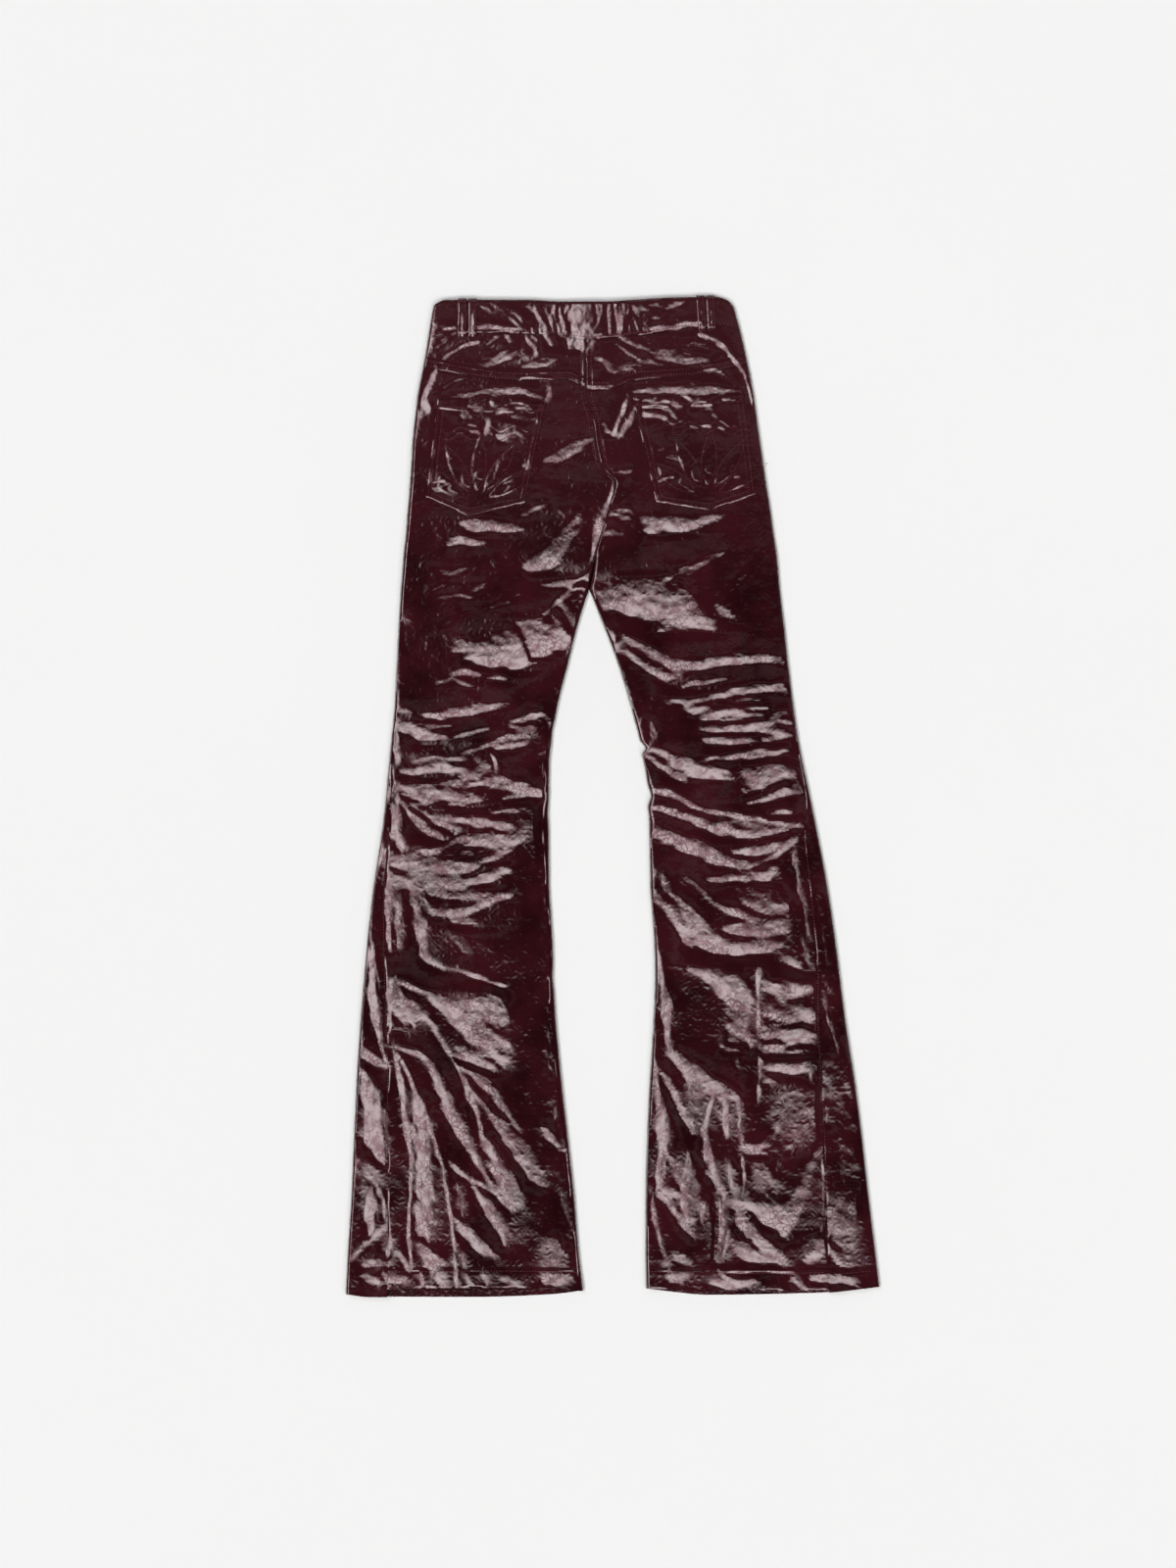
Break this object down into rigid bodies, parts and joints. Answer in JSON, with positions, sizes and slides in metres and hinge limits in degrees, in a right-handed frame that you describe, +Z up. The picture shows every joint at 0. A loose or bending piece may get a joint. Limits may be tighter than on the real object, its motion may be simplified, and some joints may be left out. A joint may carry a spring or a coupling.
{
  "type": "flared leather trousers",
  "caption": "Flared patent-leather trousers laid flat, back side up, with yokes, waistband, belt loops and two patch pockets.",
  "frame": {"origin": "centre of the bounding box, on the surface the trousers lie on", "axes": "+Y from the hems to the waist, +X to the wearer's right leg as seen from above, +Z up from the surface"},
  "size_m": [0.6004, 1.1263, 0.0171],
  "materials": {
    "patent_leather": "very glossy, with a fine crackle",
    "zip": "dark tape with metal teeth",
    "hook": "satin"
  },
  "bodies": {
    "root": {"back_left": "patent_leather", "back_right": "patent_leather", "front_left": "patent_leather", "front_right": "patent_leather", "yoke_left": "patent_leather", "yoke_right": "patent_leather", "waistband_back": "patent_leather", "waistband_front_left": "patent_leather", "waistband_front_right": "patent_leather", "belt_loop_1": "patent_leather", "belt_loop_2": "patent_leather", "belt_loop_3": "patent_leather", "belt_loop_4": "patent_leather", "pocket_left": "patent_leather", "pocket_right": "patent_leather", "zip": "zip", "waist_hook": "hook"}
  },
  "joints": []
}
